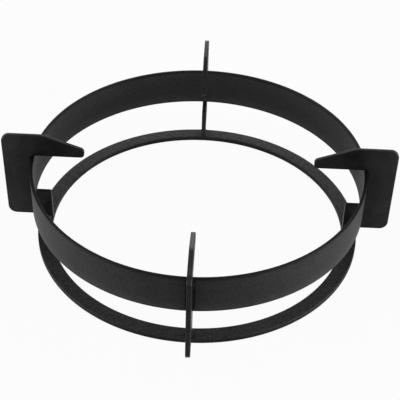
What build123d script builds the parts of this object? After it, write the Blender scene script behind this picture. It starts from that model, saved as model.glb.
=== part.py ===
from build123d import *
from math import cos, radians, sin, sqrt
import os

os.makedirs("parts", exist_ok=True)

# Wok ring: a flat lower ring and a rolled upper band, held apart by four upright plates and welded.
# Millimetres. Z is up, and the origin is the centre of the lower ring's underside.
# The plates stand in the planes that hold the Z axis and the X or the Y axis.

# Upper band, a flat strip rolled into a hoop
band_outer_radius = 109.0
band_thickness = 2.0
band_height = 26.5
band_lift = 29.0  # lower edge of the band above the base

# Lower ring, cut flat from sheet
ring_inset = 1.5  # from the band's outer face in to the ring's outer edge
ring_width = 9.5
ring_thickness = 3.5

# Support plates, four alike
plate_thickness = 3.0
ear_width = 19.0  # outwards from the band
ear_lift = 6.5  # lower edge of the ear above the base, where it hooks over the bars of a hob
arm_root_depth = 16.0  # height of the ear's top edge over the band
arm_tip_depth = 6.0
arm_length = 34.5  # inwards from the band's outer face
shoulder_inset = 8.5  # from the band's outer face to where the top edge turns down
tab_gap = 3.0  # between the band and the tab that stands on the lower ring

# Corners of a plate's outline
ear_corner_radius = 5.5
shoulder_corner_radius = 12.0
tip_top_radius = 3.0
tip_flat = 0.5  # least upright stretch on the arm's end between its two corners
tab_corner_radius = 1.0
step_flat = 1.0  # upright stretch left on the foot under its hollow corner with the ear
notch_foot_radius = 1.0  # hollow corner between the notch and the tab
notch_clearance = 0.1  # by which the notch's upper corner is tighter than the band's broken edge

# Broken edges
ring_edge_break = 0.5
band_edge_break = 0.5
plate_edge_break = 0.4

# Weld beads
bead_leg = 1.5
bead_crown = 0.2  # swell of a bead's face
band_bead_margin = 1.0  # from each end of an upright bead to the band's edge
foot_bead_margin = 1.0  # from each end of a foot bead to the lower ring's edge

# What follows from these sizes
ring_outer_radius = band_outer_radius - ring_inset
ring_inner_radius = ring_outer_radius - ring_width
band_inner_radius = band_outer_radius - band_thickness
band_top = band_lift + band_height
plate_top = band_top + arm_root_depth
ear_radius = band_outer_radius + ear_width
shoulder_place = band_outer_radius - shoulder_inset
tip_place = band_outer_radius - arm_length
tab_top = band_lift - tab_gap
tip_bottom_radius = arm_tip_depth - tip_top_radius - tip_flat
step_radius = ear_lift - ring_thickness - step_flat
plate_face = plate_thickness / 2  # from the middle of a plate to its side
bead_toe = plate_face + bead_leg  # from the middle of a plate to the far toe of a bead


def band_face(sideways):
    """Distance from the axis to the band's outer face, along a line this far beside a plate's middle."""
    return sqrt(band_outer_radius**2 - sideways**2)


def bead_face(start, end):
    """Middle of a bead's face, between its toes. The bead's root is on the left of start to end."""
    chord = Vector(end) - Vector(start)
    return (Vector(start) + Vector(end)) / 2 + chord.normalized().rotate(Axis.Z, -90) * bead_crown


with BuildPart() as lower_ring:
    with BuildSketch(Plane.XZ) as ring_section:
        with Locations((ring_inner_radius, 0)):
            Rectangle(ring_width, ring_thickness, align=Align.MIN)
        chamfer(ring_section.vertices(), length=ring_edge_break)
    revolve(axis=Axis.Z)
lower_ring.part.label = "lower_ring"
export_step(lower_ring.part, "parts/lower_ring.step")

with BuildPart() as upper_band:
    with BuildSketch(Plane.XZ) as band_section:
        with Locations((band_inner_radius, band_lift)):
            Rectangle(band_thickness, band_height, align=Align.MIN)
        chamfer(band_section.vertices(), length=band_edge_break)
    revolve(axis=Axis.Z)
upper_band.part.label = "upper_band"
export_step(upper_band.part, "parts/upper_band.step")

# Outline of a plate as (distance from the axis, height, corner radius), from the foot's outer corner
# out round the ear, in along the arm to its tip, and back down the notch to the tab
plate_corners = [
    (ring_outer_radius, ring_thickness, 0),
    (ring_outer_radius, ear_lift, step_radius),
    (ear_radius, ear_lift, ear_corner_radius),
    (ear_radius, plate_top, ear_corner_radius),
    (shoulder_place, plate_top, shoulder_corner_radius),
    (tip_place, band_top + arm_tip_depth, tip_top_radius),
    (tip_place, band_top, tip_bottom_radius),
    (band_outer_radius, band_top, band_edge_break - notch_clearance),
    (band_outer_radius, tab_top, notch_foot_radius),
    (ring_inner_radius, tab_top, tab_corner_radius),
    (ring_inner_radius, ring_thickness, 0),
]

azimuths = {"right": 0, "back": 90, "left": 180, "front": 270}

for side, azimuth in azimuths.items():
    outwards = Vector(cos(radians(azimuth)), sin(radians(azimuth)), 0)
    across = Vector(-sin(radians(azimuth)), cos(radians(azimuth)), 0)
    upwards = Vector(0, 0, 1)
    middle_plane = Plane(origin=(0, 0, 0), x_dir=outwards, z_dir=-across)

    with BuildPart() as support_plate:
        with BuildSketch(middle_plane):
            with BuildLine():
                FilletPolyline(
                    [(distance, height) for distance, height, _ in plate_corners],
                    radius=[radius for _, _, radius in plate_corners],
                    close=True,
                )
            make_face()
        extrude(amount=plate_face, both=True)
        sides = support_plate.faces().sort_by(Axis((0, 0, 0), across))
        chamfer(sides[0].edges() + sides[-1].edges(), length=plate_edge_break)
    support_plate.part.label = f"support_plate_{side}"
    export_step(support_plate.part, f"parts/support_plate_{side}.step")

    # A pair of upright beads between the ear and the band's outer face. Each end slopes to the root.
    with BuildPart() as band_welds:
        bead_bottom = band_lift + band_bead_margin
        bead_top = band_top - band_bead_margin
        plate_toe = (band_face(plate_face) + bead_leg, plate_face)
        band_toe = (band_face(bead_toe), bead_toe)
        root = (band_face(plate_face), plate_face)
        root_line = outwards * root[0] + across * root[1]
        with BuildSketch(Plane(origin=upwards * bead_bottom, x_dir=outwards, z_dir=upwards)):
            with BuildLine():
                Line(root, plate_toe)
                ThreePointArc(plate_toe, bead_face(plate_toe, band_toe), band_toe)
                RadiusArc(band_toe, root, band_outer_radius)
            make_face()
        extrude(amount=bead_top - bead_bottom)
        for end, slope in ((bead_top, upwards), (bead_bottom, -upwards)):
            end_cut = Plane(origin=root_line + upwards * end, z_dir=outwards + across + slope)
            split(bisect_by=end_cut, keep=Keep.BOTTOM)
        mirror(about=middle_plane)
    band_welds.part.label = f"band_welds_{side}"
    export_step(band_welds.part, f"parts/band_welds_{side}.step")

    # A pair of level beads along the tab's foot on the lower ring
    with BuildPart() as foot_welds:
        bead_inner = ring_inner_radius + foot_bead_margin
        bead_outer = ring_outer_radius - foot_bead_margin
        plate_toe = (plate_face, ring_thickness + bead_leg)
        ring_toe = (bead_toe, ring_thickness)
        root = (plate_face, ring_thickness)
        root_line = across * root[0] + upwards * root[1]
        with BuildSketch(Plane(origin=outwards * bead_inner, x_dir=across, z_dir=outwards)):
            with BuildLine():
                Line(root, ring_toe)
                ThreePointArc(ring_toe, bead_face(ring_toe, plate_toe), plate_toe)
                Line(plate_toe, root)
            make_face()
        extrude(amount=bead_outer - bead_inner)
        for end, slope in ((bead_outer, outwards), (bead_inner, -outwards)):
            end_cut = Plane(origin=root_line + outwards * end, z_dir=across + upwards + slope)
            split(bisect_by=end_cut, keep=Keep.BOTTOM)
        mirror(about=middle_plane)
    foot_welds.part.label = f"foot_welds_{side}"
    export_step(foot_welds.part, f"parts/foot_welds_{side}.step")
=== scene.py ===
"""Wok ring of enamelled steel: two hoops and four upright plates, welded together."""
from math import pi, radians, sin, sqrt, tan

import bmesh
import bpy
from mathutils import Matrix, Quaternion, Vector


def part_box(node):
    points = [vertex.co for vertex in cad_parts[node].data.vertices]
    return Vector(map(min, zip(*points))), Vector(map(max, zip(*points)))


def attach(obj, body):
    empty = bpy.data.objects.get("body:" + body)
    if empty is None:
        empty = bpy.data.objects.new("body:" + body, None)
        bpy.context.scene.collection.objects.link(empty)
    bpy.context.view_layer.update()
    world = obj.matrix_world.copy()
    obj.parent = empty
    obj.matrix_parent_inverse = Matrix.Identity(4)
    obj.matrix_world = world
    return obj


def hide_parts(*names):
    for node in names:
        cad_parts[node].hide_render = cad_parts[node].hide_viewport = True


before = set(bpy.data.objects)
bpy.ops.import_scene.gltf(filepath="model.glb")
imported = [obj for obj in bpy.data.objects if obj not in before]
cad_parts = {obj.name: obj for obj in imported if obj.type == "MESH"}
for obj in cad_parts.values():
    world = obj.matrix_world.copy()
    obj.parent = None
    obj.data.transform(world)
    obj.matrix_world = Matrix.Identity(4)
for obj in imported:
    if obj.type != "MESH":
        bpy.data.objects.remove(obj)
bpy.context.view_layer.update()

MM = 0.001
SIDES = {"right": 0, "back": 90, "left": 180, "front": 270}  # degrees round the Z axis from +X

# What the CAD nodes give: the hoops and the plate on the +X side
ring_low, ring_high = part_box("lower_ring")
band_low, band_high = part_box("upper_band")
plate_low, plate_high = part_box("support_plate_right")

ring_outer = ring_high.x
ring_bottom = ring_low.z
ring_top = ring_high.z
band_outer = band_high.x
band_bottom = band_low.z
band_top = band_high.z
plate_face = plate_high.y  # from the middle of a plate to its side
plate_top = plate_high.z
ear_end = plate_high.x
arm_end = plate_low.x

# Sizes inside the nodes
ring_width = 9.5 * MM
band_thickness = 2 * MM
ear_lift = 6.5 * MM  # lower edge of the ear above the base
tab_gap = 3 * MM  # between the band and the tab that stands on the lower ring
shoulder_inset = 8.5 * MM  # from the band's outer face to where the arm's top edge turns down
arm_tip_depth = 6 * MM  # height of the arm's tip over the band
bead_leg = 1.5 * MM
bead_margin = 1 * MM  # from each end of a bead to the edge of the band or of the lower ring

ring_inner = ring_outer - ring_width
band_inner = band_outer - band_thickness
tab_top = band_bottom - tab_gap
shoulder = band_outer - shoulder_inset
arm_tip_top = band_top + arm_tip_depth

# Softened edges, and how finely round shapes are divided
hoop_edge_radius = 0.5 * MM
plate_edge_radius = 0.6 * MM
hoop_steps = 288
corner_step = 0.6 * MM  # of radius for each segment of a rounded corner
merge_distance = 0.001 * MM

# Plate outline as (distance from the axis, height, corner radius)
PLATE_CORNERS = [
    (ring_outer, ring_top, 0.7 * MM),  # foot, outside
    (ring_outer, ear_lift, 2 * MM),  # hollow corner between the foot and the ear
    (ear_end, ear_lift, 5.5 * MM),  # ear, low
    (ear_end, plate_top, 5.5 * MM),  # ear, high
    (shoulder, plate_top, 12 * MM),  # shoulder of the arm
    (arm_end, arm_tip_top, 3 * MM),  # tip of the arm, high
    (arm_end, band_top, 2.5 * MM),  # tip of the arm, low
    (band_outer, band_top, 0.4 * MM),  # notch, over the band's edge
    (band_outer, tab_top, 1 * MM),  # notch, at the tab
    (ring_inner, tab_top, 1 * MM),  # tab, high
    (ring_inner, ring_top, 0.7 * MM),  # foot, inside
]


# Shapes

def finish_piece(name, mesh_maker, material, node):
    """A smooth-shaded piece that stands for one CAD node."""
    bm = bmesh.new()
    mesh_maker(bm)
    bmesh.ops.remove_doubles(bm, verts=bm.verts, dist=merge_distance)
    bmesh.ops.recalc_face_normals(bm, faces=bm.faces)
    mesh = bpy.data.meshes.new(name)
    bm.to_mesh(mesh)
    bm.free()
    mesh.polygons.foreach_set("use_smooth", [True] * len(mesh.polygons))
    mesh.materials.append(material)
    piece = bpy.data.objects.new(name, mesh)
    bpy.context.scene.collection.objects.link(piece)
    normals = piece.modifiers.new("Even shading", "WEIGHTED_NORMAL")
    normals.weight = 100  # large faces stay flat beside their softened edges
    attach(piece, "root")
    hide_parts(node)
    return piece


def round_corner(bm, corner, radius):
    """Rounds one corner of a flat outline, by the same radius whatever its angle."""
    along = [edge.other_vert(corner).co - corner.co for edge in corner.link_edges]
    half_angle = along[0].angle(along[1]) / 2
    bmesh.ops.bevel(
        bm,
        geom=[corner],
        offset=radius / tan(half_angle),
        offset_type="OFFSET",
        segments=max(3, round(radius / corner_step)),
        profile=0.5,
        affect="VERTICES",
        clamp_overlap=False,
        material=-1,
    )


def outline(bm, corners):
    """A flat face in the XZ plane with rounded corners, from (x, z, radius)."""
    verts = [bm.verts.new((x, 0, z)) for x, z, _ in corners]
    bm.faces.new(verts)
    for vert, (_, _, radius) in zip(verts, corners):
        round_corner(bm, vert, radius)


def hoop(bm, inner, outer, bottom, top):
    """A hoop spun from a rectangular section with rounded edges."""
    section = [(inner, bottom), (outer, bottom), (outer, top), (inner, top)]
    outline(bm, [(x, z, hoop_edge_radius) for x, z in section])
    bmesh.ops.delete(bm, geom=bm.faces[:], context="FACES_ONLY")
    bmesh.ops.spin(
        bm,
        geom=bm.verts[:] + bm.edges[:],
        cent=(0, 0, 0),
        axis=(0, 0, 1),
        angle=2 * pi,
        steps=hoop_steps,
        use_merge=True,
    )


def support_plate(bm, azimuth):
    """A plate cut from sheet: its outline, its thickness and softened edges, turned to its side."""
    outline(bm, PLATE_CORNERS)
    bmesh.ops.translate(bm, verts=bm.verts, vec=(0, -plate_face, 0))
    extruded = bmesh.ops.extrude_face_region(bm, geom=bm.faces[:])["geom"]
    far_side = [item for item in extruded if isinstance(item, bmesh.types.BMVert)]
    bmesh.ops.translate(bm, verts=far_side, vec=(0, 2 * plate_face, 0))
    bmesh.ops.recalc_face_normals(bm, faces=bm.faces)
    sides = [face for face in bm.faces if abs(face.normal.y) > 0.9]  # they face along Y
    bmesh.ops.bevel(
        bm,
        geom=list({edge for face in sides for edge in face.edges}),
        offset=plate_edge_radius,
        offset_type="OFFSET",
        segments=3,
        profile=0.5,
        affect="EDGES",
        clamp_overlap=False,
        material=-1,
    )
    turn = Matrix.Rotation(radians(azimuth), 3, "Z")
    bmesh.ops.rotate(bm, verts=bm.verts, cent=(0, 0, 0), matrix=turn)


def weld_bead(bm, length, place):
    """One fillet bead of overlapping ripples. Its root is on the local Z axis and its legs run
    along X and Y."""
    sink = 0.12 * MM  # into both pieces that it joins
    centre = 0.6 * MM  # of the bead's round face, behind the root on both legs
    ripple_pitch = 1.15 * MM
    ripple_depth = 0.08  # share of the bead's size that is lost between two ripples
    ripple_bow = 0.45 * MM  # how far the middle of a ripple runs ahead of its toes
    end_length = 1.3 * MM  # of each rounded end
    end_size = 0.2  # share of the bead's size that is left at its very end
    wander = 0.06  # share by which the hand lets the size grow and shrink
    wander_pace = 0.7  # radians for each millimetre along the bead
    wander_shift = 40  # radians for each millimetre of the bead's distance from the origin
    step_length = 0.2 * MM

    face_radius = sqrt((bead_leg + centre) ** 2 + centre**2)
    bmesh.ops.create_circle(bm, cap_ends=True, segments=64, radius=face_radius)
    bmesh.ops.translate(bm, verts=bm.verts, vec=(-centre, -centre, 0))
    for normal in ((1, 0, 0), (0, 1, 0)):
        bmesh.ops.bisect_plane(
            bm,
            geom=bm.verts[:] + bm.edges[:] + bm.faces[:],
            plane_co=Vector(normal) * -sink,
            plane_no=normal,
            clear_inner=True,
        )

    steps = round(length / step_length)
    distance = place.translation.length
    front = bm.faces[:]
    verts = bm.verts[:]
    last_size = 1
    for step in range(steps + 1):
        along = step / steps * length
        if step:
            extruded = bmesh.ops.extrude_face_region(bm, geom=front)["geom"]
            front = [item for item in extruded if isinstance(item, bmesh.types.BMFace)]
            verts = [item for item in extruded if isinstance(item, bmesh.types.BMVert)]
            bmesh.ops.translate(bm, verts=verts, vec=(0, 0, length / steps))
        to_end = min(1, min(along, length - along) / end_length)
        rounding = max(end_size, sqrt(1 - (1 - to_end) ** 2))
        ripple = 1 - ripple_depth * (1 - abs(sin(pi * along / ripple_pitch)))
        by_hand = 1 + wander * sin(wander_pace * along / MM + wander_shift * distance / MM)
        size = rounding * ripple * by_hand
        bmesh.ops.scale(bm, verts=verts, vec=(size / last_size, size / last_size, 1))
        last_size = size

    middle = 0.4 * bead_leg**2  # x times y half way across the bead's face
    for vert in bm.verts:
        vert.co.z += ripple_bow * vert.co.x * vert.co.y / middle
    bmesh.ops.transform(bm, matrix=place, verts=bm.verts)


def bead_pair(bm, length, root, leg_a, leg_b, run, azimuth):
    """A bead on each side of the plate at an azimuth. leg_b points away from the plate."""
    for hand in (1, -1):
        turn = Matrix.Rotation(radians(azimuth), 4, "Z")
        mirror = Matrix.Diagonal((1, hand, 1, 1))
        axes = Matrix((leg_a, leg_b, run)).transposed().to_4x4()
        axes.translation = Vector(root)
        bead = bmesh.new()
        weld_bead(bead, length, turn @ mirror @ axes)
        bmesh.ops.recalc_face_normals(bead, faces=bead.faces)
        mesh = bpy.data.meshes.new("bead")
        bead.to_mesh(mesh)
        bead.free()
        bm.from_mesh(mesh)
        bpy.data.meshes.remove(mesh)


def band_beads(bm, azimuth):
    """Upright beads between a plate's ear and the band's outer face."""
    band_face = sqrt(band_outer**2 - (plate_face + bead_leg / 2) ** 2)  # where it meets the bead
    bead_pair(
        bm,
        length=band_top - band_bottom - 2 * bead_margin,
        root=(band_face, plate_face, band_bottom + bead_margin),
        leg_a=(1, 0, 0),
        leg_b=(0, 1, 0),
        run=(0, 0, 1),
        azimuth=azimuth,
    )


def foot_beads(bm, azimuth):
    """Level beads along a tab's foot on the lower ring."""
    bead_pair(
        bm,
        length=ring_outer - ring_inner - 2 * bead_margin,
        root=(ring_inner + bead_margin, plate_face, ring_top),
        leg_a=(0, 0, 1),
        leg_b=(0, 1, 0),
        run=(1, 0, 0),
        azimuth=azimuth,
    )


# Finishes

def srgb(code):
    """Linear colour from an sRGB hex value."""
    levels = [int(code[i:i + 2], 16) / 255 for i in (1, 3, 5)]
    return (*(v / 12.92 if v <= 0.04045 else ((v + 0.055) / 1.055) ** 2.4 for v in levels), 1)


def add_node(tree, kind, inputs=None, **settings):
    """Adds a node with its settings, and fills its sockets with values or with links from other
    nodes."""
    node = tree.nodes.new(kind)
    for name, value in settings.items():
        setattr(node, name, value)
    for socket, value in (inputs or {}).items():
        if isinstance(value, bpy.types.NodeSocket):
            tree.links.new(value, node.inputs[socket])
        else:
            node.inputs[socket].default_value = value
    return node


def measured(tree, place, kind):
    """A distance on the object: its height, its reach from the axis, or how far aside it is of a
    plate's middle."""
    if kind == "height":
        return add_node(tree, "ShaderNodeSeparateXYZ", {"Vector": place}).outputs["Z"]
    if kind == "reach":
        level = add_node(tree, "ShaderNodeVectorMath", {
            0: place, 1: (1, 1, 0),
        }, operation="MULTIPLY")
        return add_node(tree, "ShaderNodeVectorMath", {
            0: level.outputs["Vector"],
        }, operation="LENGTH").outputs["Value"]
    unsigned = add_node(tree, "ShaderNodeVectorMath", {0: place}, operation="ABSOLUTE")
    parts = add_node(tree, "ShaderNodeSeparateXYZ", {"Vector": unsigned.outputs["Vector"]})
    return add_node(tree, "ShaderNodeMath", {
        0: parts.outputs["X"], 1: parts.outputs["Y"],
    }, operation="MINIMUM").outputs[0]


def black_enamel(name, colours, specular, mottling, roughness, grain_size, grain_depth, levels=()):
    """Black vitreous enamel, dipped and fired on sheet steel: a deep, nearly matt black with a
    soft sheen at glancing angles. It shows an orange peel from the firing, faint clouds where the
    coat ran thicker, a fine grain and a few pinholes. Real peel and grain are finer and shallower:
    they are drawn coarse and deep enough to show.

    colours are those of a thin coat and of a thick one, specular is the mean of the sheen, and
    mottling the share by which the grain varies it. levels paints light and shade into the coat,
    as lighter or darker colour and sheen by height, by reach from the axis and by distance from a
    plate's middle. It has a row for each such place, of (kind of distance, start, end, share of
    the colour and sheen at the start, and at the end)."""
    cloud_size = 16 * MM
    peel_size = 2.4 * MM
    peel_depth = 0.09 * MM
    pinhole_spacing = 13 * MM
    pinhole_floor, pinhole_rim = 0.02, 0.045  # distances from its middle, as shares of the spacing
    pinhole_depth = 0.15 * MM
    noise_low, noise_high = 0.35, 0.65  # nearly all of a noise lies between them
    roughness_spread = 0.08  # either way
    haze = 0.07  # share by which the clouds vary the sheen, either way

    material = bpy.data.materials.new(name)
    material.use_nodes = True
    tree = material.node_tree
    tree.nodes.clear()
    place = add_node(tree, "ShaderNodeTexCoord").outputs["Object"]

    clouds = add_node(tree, "ShaderNodeTexNoise", {
        "Vector": place, "Scale": 1 / cloud_size, "Detail": 4.0, "Roughness": 0.6,
        "Distortion": 0.8,
    })
    peel = add_node(tree, "ShaderNodeTexNoise", {
        "Vector": place, "Scale": 1 / peel_size, "Detail": 1.0, "Roughness": 0.4,
    })
    grain = add_node(tree, "ShaderNodeTexNoise", {
        "Vector": place, "Scale": 1 / grain_size, "Detail": 3.0, "Roughness": 0.7,
    })
    pinholes = add_node(tree, "ShaderNodeTexVoronoi", {
        "Vector": place, "Scale": 1 / pinhole_spacing, "Randomness": 1.0,
    }, feature="F1")
    hole = add_node(tree, "ShaderNodeMapRange", {
        "Value": pinholes.outputs["Distance"],
        "From Min": pinhole_floor, "From Max": pinhole_rim, "To Min": 1.0, "To Max": 0.0,
    })

    # Thicker coat is a little greyer and duller than thin
    ramp = add_node(tree, "ShaderNodeValToRGB", {"Fac": clouds.outputs["Fac"]})
    for element, position, code in zip(ramp.color_ramp.elements, (noise_low, noise_high), colours):
        element.position = position
        element.color = srgb(code)
    mottled = add_node(tree, "ShaderNodeMath", {
        0: clouds.outputs["Fac"], 1: grain.outputs["Fac"],
    }, operation="ADD")
    gloss = add_node(tree, "ShaderNodeMapRange", {
        "Value": mottled.outputs[0], "From Min": 2 * noise_low, "From Max": 2 * noise_high,
        "To Min": roughness - roughness_spread, "To Max": roughness + roughness_spread,
    })

    # Mottled sheen
    grained_sheen = add_node(tree, "ShaderNodeMapRange", {
        "Value": grain.outputs["Fac"], "From Min": noise_low, "From Max": noise_high,
        "To Min": (1 - mottling) * specular, "To Max": (1 + mottling) * specular,
    })
    hazy = add_node(tree, "ShaderNodeMapRange", {
        "Value": clouds.outputs["Fac"], "From Min": noise_low, "From Max": noise_high,
        "To Min": 1 - haze, "To Max": 1 + haze,
    })
    sheen = add_node(tree, "ShaderNodeMath", {
        0: grained_sheen.outputs["Result"], 1: hazy.outputs["Result"],
    }, operation="MULTIPLY").outputs[0]

    # Painted light and shade: each row of levels scales the colour and sheen by place
    colour = ramp.outputs["Color"]
    for kind, start, end, at_start, at_end in levels:
        share = add_node(tree, "ShaderNodeMapRange", {
            "Value": measured(tree, place, kind),
            "From Min": start, "From Max": end, "To Min": at_start, "To Max": at_end,
        }, interpolation_type="SMOOTHSTEP").outputs["Result"]
        sheen = add_node(tree, "ShaderNodeMath", {
            0: sheen, 1: share,
        }, operation="MULTIPLY").outputs[0]
        colour = add_node(tree, "ShaderNodeVectorMath", {
            0: colour, "Scale": share,
        }, operation="SCALE").outputs["Vector"]

    peeled = add_node(tree, "ShaderNodeBump", {
        "Height": peel.outputs["Fac"], "Strength": 1.0, "Distance": peel_depth,
    })
    grained = add_node(tree, "ShaderNodeBump", {
        "Height": grain.outputs["Fac"], "Strength": 1.0, "Distance": grain_depth,
        "Normal": peeled.outputs["Normal"],
    })
    pitted = add_node(tree, "ShaderNodeBump", {
        "Height": hole.outputs["Result"], "Strength": 1.0, "Distance": pinhole_depth,
        "Normal": grained.outputs["Normal"],
    }, invert=True)
    shader = add_node(tree, "ShaderNodeBsdfPrincipled", {
        "Base Color": colour, "Roughness": gloss.outputs["Result"],
        "Specular IOR Level": sheen, "Normal": pitted.outputs["Normal"],
    })
    add_node(tree, "ShaderNodeOutputMaterial", {"Surface": shader.outputs["BSDF"]})
    return material


# Floor, world, lamps and camera

def shows_white(tree):
    """1 for the rays that see the white surroundings as they are: those from the camera, off gloss
    and through glass."""
    path = add_node(tree, "ShaderNodeLightPath")
    seen = add_node(tree, "ShaderNodeMath", {
        0: path.outputs["Is Camera Ray"], 1: path.outputs["Is Glossy Ray"],
    }, operation="MAXIMUM")
    return add_node(tree, "ShaderNodeMath", {
        0: seen.outputs[0], 1: path.outputs["Is Transmission Ray"],
    }, operation="MAXIMUM").outputs[0]


def white_floor():
    """White table whose colour stays white in the picture, but for the soft shadow of the
    object."""
    white_share = 0.94  # of what is seen; the rest takes light and holds the shadow
    half_width = 6  # metres

    material = bpy.data.materials.new("White table")
    material.use_nodes = True
    tree = material.node_tree
    tree.nodes.clear()
    share = add_node(tree, "ShaderNodeMath", {
        0: shows_white(tree), 1: white_share,
    }, operation="MULTIPLY")
    lit = add_node(tree, "ShaderNodeBsdfDiffuse", {"Color": srgb("#f4f4f4")})
    plain = add_node(tree, "ShaderNodeEmission", {"Color": srgb("#ffffff"), "Strength": 1.0})
    mixed = add_node(tree, "ShaderNodeMixShader", {
        0: share.outputs[0], 1: lit.outputs[0], 2: plain.outputs[0],
    })
    add_node(tree, "ShaderNodeOutputMaterial", {"Surface": mixed.outputs[0]})
    material.cycles.emission_sampling = "NONE"

    bm = bmesh.new()
    bmesh.ops.create_grid(bm, x_segments=1, y_segments=1, size=half_width)
    mesh = bpy.data.meshes.new("Floor")
    bm.to_mesh(mesh)
    bm.free()
    mesh.materials.append(material)
    floor = bpy.data.objects.new("Floor", mesh)
    bpy.context.scene.collection.objects.link(floor)


def surroundings():
    """White all round, at a plain level for what it lights."""
    lighting_level = 0.45

    world = bpy.data.worlds.new("White studio")
    bpy.context.scene.world = world
    world.use_nodes = True
    tree = world.node_tree
    tree.nodes.clear()
    level = add_node(tree, "ShaderNodeMapRange", {
        "Value": shows_white(tree), "To Min": lighting_level, "To Max": 1.0,
    })
    back = add_node(tree, "ShaderNodeBackground", {
        "Color": srgb("#ffffff"), "Strength": level.outputs["Result"],
    })
    add_node(tree, "ShaderNodeOutputWorld", {"Surface": back.outputs[0]})
    world.cycles.sampling_method = "NONE"


def soft_box(name, place, width, height, power):
    """A soft lamp that faces the object."""
    data = bpy.data.lights.new(name, "AREA")
    data.shape = "RECTANGLE"
    data.size = width
    data.size_y = height
    data.energy = power
    lamp = bpy.data.objects.new(name, data)
    lamp.location = place
    lamp.rotation_euler = (-Vector(place)).to_track_quat("-Z", "Y").to_euler()
    bpy.context.scene.collection.objects.link(lamp)


def camera():
    """The photograph's view: from the front, raised by 40 degrees and tipped a little to one
    side."""
    data = bpy.data.cameras.new("Camera")
    data.sensor_width = 36
    data.lens = 96.19
    view = bpy.data.objects.new("Camera", data)
    view.location = Vector((15.825, -548.333, 480.941)) * MM
    aim = Vector((1.393, 0.037, 23.384)) * MM
    tip = Quaternion((0, 0, 1), radians(1.617))
    view.rotation_mode = "QUATERNION"
    view.rotation_quaternion = (aim - view.location).to_track_quat("-Z", "Y") @ tip
    bpy.context.scene.collection.objects.link(view)
    bpy.context.scene.camera = view


# The object

DEEP_BLACK = ("#080808", "#0f0f0f")
# Greyer black, as painted light on the flat ring's upward top
PAINTED_LIGHT_GREY_BLACK = ("#202020", "#282828")

# Flat sheet takes an even, close coat: the deepest black, with a smooth grain
plate_enamel = black_enamel(
    "Black enamel on cut plate",
    colours=DEEP_BLACK,
    specular=0.112,
    mottling=0.2,
    roughness=0.42,
    grain_size=1.0 * MM,
    grain_depth=0.03 * MM,
    levels=[
        # Painted highlight: the cut edges all round are lighter than the flat sides
        ("aside", plate_face - plate_edge_radius, plate_face - 0.1 * MM, 1.4, 1.0),
        # Painted shade: darker by the band, lighter out over the ear, and dark again on its end
        ("reach", band_outer + 1 * MM, ear_end, 0.9, 1.4),
        ("reach", ear_end - plate_edge_radius, ear_end - 0.2 * MM, 1.0, 0.5),
    ],
)
# Rolled strip is a little rough under its coat: duller, but brighter at glancing angles
band_enamel = black_enamel(
    "Black enamel on rolled strip",
    colours=DEEP_BLACK,
    specular=0.178,
    mottling=0.3,
    roughness=0.56,
    grain_size=1.1 * MM,
    grain_depth=0.035 * MM,
    levels=[
        # Painted light towards the lower edge, and painted shade on the upper one
        ("height", band_bottom, band_bottom + 9 * MM, 1.4, 1.0),
        ("height", band_top - 2.5 * MM, band_top - 0.8 * MM, 1.0, 0.6),
        # Painted light: the inner face lighter than the outer one
        ("reach", band_inner + hoop_edge_radius, band_outer - hoop_edge_radius, 1.38, 1.0),
    ],
)
# The flat ring takes a greyer black, painted light for its upward top, and a coarse grain
ring_enamel = black_enamel(
    "Black enamel on flat ring",
    colours=PAINTED_LIGHT_GREY_BLACK,
    specular=0.12,
    mottling=0.7,
    roughness=0.48,
    grain_size=1.3 * MM,
    grain_depth=0.1 * MM,
    levels=[
        # Painted shade on the sides, but for a painted highlight on their lowest millimetre, and
        # full on the top
        ("height", ring_bottom + 0.4 * MM, ring_bottom + 1.3 * MM, 2.0, 1.0),
        ("height", ring_top - 0.6 * MM, ring_top - 0.1 * MM, 0.4, 1.0),
    ],
)
# Over a bead the coat is thin and fine, and its ripples catch the light
weld_enamel = black_enamel(
    "Black enamel over weld",
    colours=DEEP_BLACK,
    specular=0.3,
    mottling=0.2,
    roughness=0.45,
    grain_size=0.5 * MM,
    grain_depth=0.02 * MM,
)

finish_piece(
    "enamelled_ring", lambda bm: hoop(bm, ring_inner, ring_outer, ring_bottom, ring_top),
    ring_enamel, "lower_ring",
)
finish_piece(
    "enamelled_band", lambda bm: hoop(bm, band_inner, band_outer, band_bottom, band_top),
    band_enamel, "upper_band",
)
for side, azimuth in SIDES.items():
    finish_piece(
        f"enamelled_plate_{side}", lambda bm: support_plate(bm, azimuth),
        plate_enamel, f"support_plate_{side}",
    )
    finish_piece(
        f"band_beads_{side}", lambda bm: band_beads(bm, azimuth),
        weld_enamel, f"band_welds_{side}",
    )
    finish_piece(
        f"foot_beads_{side}", lambda bm: foot_beads(bm, azimuth),
        weld_enamel, f"foot_welds_{side}",
    )

# The stage

white_floor()
surroundings()
soft_box("Soft box behind", place=(0, 1.18, 0.2), width=0.8, height=0.8, power=5)
soft_box("Strip light, left", place=(-1.113, -0.45, 0.08), width=0.5, height=0.12, power=15)
soft_box("Strip light, right", place=(1.12, -0.43, 0.08), width=0.5, height=0.12, power=20)
camera()

bpy.context.scene.view_settings.view_transform = "Standard"
